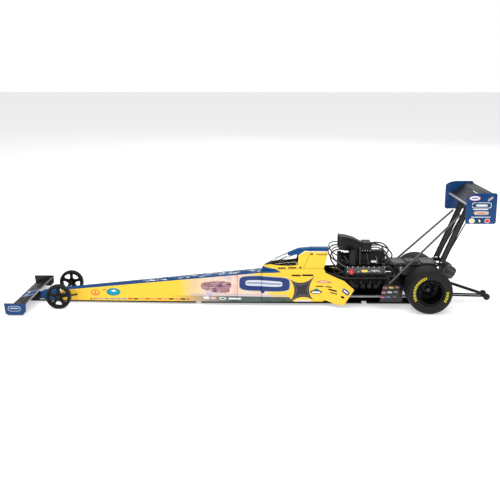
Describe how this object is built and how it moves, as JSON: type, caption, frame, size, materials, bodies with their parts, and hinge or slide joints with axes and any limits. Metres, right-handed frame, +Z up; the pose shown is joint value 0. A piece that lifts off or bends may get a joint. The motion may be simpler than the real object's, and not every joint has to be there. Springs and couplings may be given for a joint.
{
  "type": "drag racing car scale model",
  "caption": "Display scale model of a long rear-engined drag racing car: free-turning wheels, supercharged engine, high rear wing and lifting cockpit canopy.",
  "frame": {"origin": "on the floor, under the middle of the model's overall box", "axes": "+X to the nose, +Y to the car's left, +Z up"},
  "size_m": [0.4172, 0.08, 0.1045],
  "materials": {
    "yellow_paint": "gloss enamel with printed livery",
    "blue_paint": "gloss enamel",
    "clear_screen": "clear moulded screen",
    "black_frame": "satin black moulding",
    "black_engine": "satin dark moulding",
    "cover_grey": "satin grey",
    "red_cap": "gloss red",
    "carbon_look": "printed carbon weave under gloss",
    "silver_trim": "satin silver",
    "pack_black": "moulded to look like cloth",
    "wheel_black": "semi-gloss black",
    "tyre_rubber": "soft matt rubber with printed yellow marks"
  },
  "bodies": {
    "chassis": {"nose_body": "yellow_paint", "mid_body": "yellow_paint", "cockpit_body": "yellow_paint", "rear_cowl": "yellow_paint", "belly_pan": "black_frame", "cockpit_seat": "black_frame", "steering_yoke": "black_frame", "roll_cage": "black_frame", "lower_frame_rails": "black_frame", "upper_frame_rails": "black_frame", "engine_block": "black_engine", "cylinder_heads": "black_engine", "valve_covers": "cover_grey", "supercharger": "black_engine", "injector_hat": "black_engine", "blower_drive": "black_engine", "catch_can": "black_engine", "breather_caps": "red_cap", "exhaust_headers": "black_engine", "clutch_housing": "black_frame", "rear_axle_housing": "black_frame", "rear_deck": "cover_grey", "rear_side_panels": "black_frame", "rear_wing_main": "carbon_look", "rear_wing_flaps": "carbon_look", "rear_wing_endplates": "blue_paint", "rear_wing_struts": "black_frame", "rear_wing_stays": "silver_trim", "parachute_packs": "pack_black", "wheelie_bar": "black_frame", "front_wing": "carbon_look", "front_wing_flap": "silver_trim", "front_wing_endplates": "blue_paint", "front_wing_mount": "black_frame", "front_axle": "black_frame"},
    "canopy": {"canopy": "yellow_paint", "windscreen": "clear_screen"},
    "front_left": {"front_left_wheel": "wheel_black", "front_left_tyre": "tyre_rubber"},
    "front_right": {"front_right_wheel": "wheel_black", "front_right_tyre": "tyre_rubber"},
    "rear_wheelset": {"rear_axle_shaft": "silver_trim", "rear_wheels": "wheel_black", "rear_tyres": "tyre_rubber"},
    "wheelie_wheelset": {"wheelie_wheels": "wheel_black"}
  },
  "joints": [
    {"name": "canopy_hinge", "type": "hinge", "parent": "chassis", "child": "canopy", "pos_m": [-0.0078, 0, 0.03043], "axis": [0, 1, 0], "range_deg": [0, 60]},
    {"name": "front_left_spin", "type": "hinge", "parent": "chassis", "child": "front_left", "pos_m": [0.168, 0.02085, 0.0109], "axis": [0, 1, 0], "continuous": true},
    {"name": "front_right_spin", "type": "hinge", "parent": "chassis", "child": "front_right", "pos_m": [0.168, -0.02085, 0.0109], "axis": [0, 1, 0], "continuous": true},
    {"name": "rear_axle_spin", "type": "hinge", "parent": "chassis", "child": "rear_wheelset", "pos_m": [-0.1495, 0, 0.0192], "axis": [0, 1, 0], "continuous": true},
    {"name": "wheelie_wheel_spin", "type": "hinge", "parent": "chassis", "child": "wheelie_wheelset", "pos_m": [-0.2057, 0, 0.007], "axis": [0, 1, 0], "continuous": true}
  ]
}
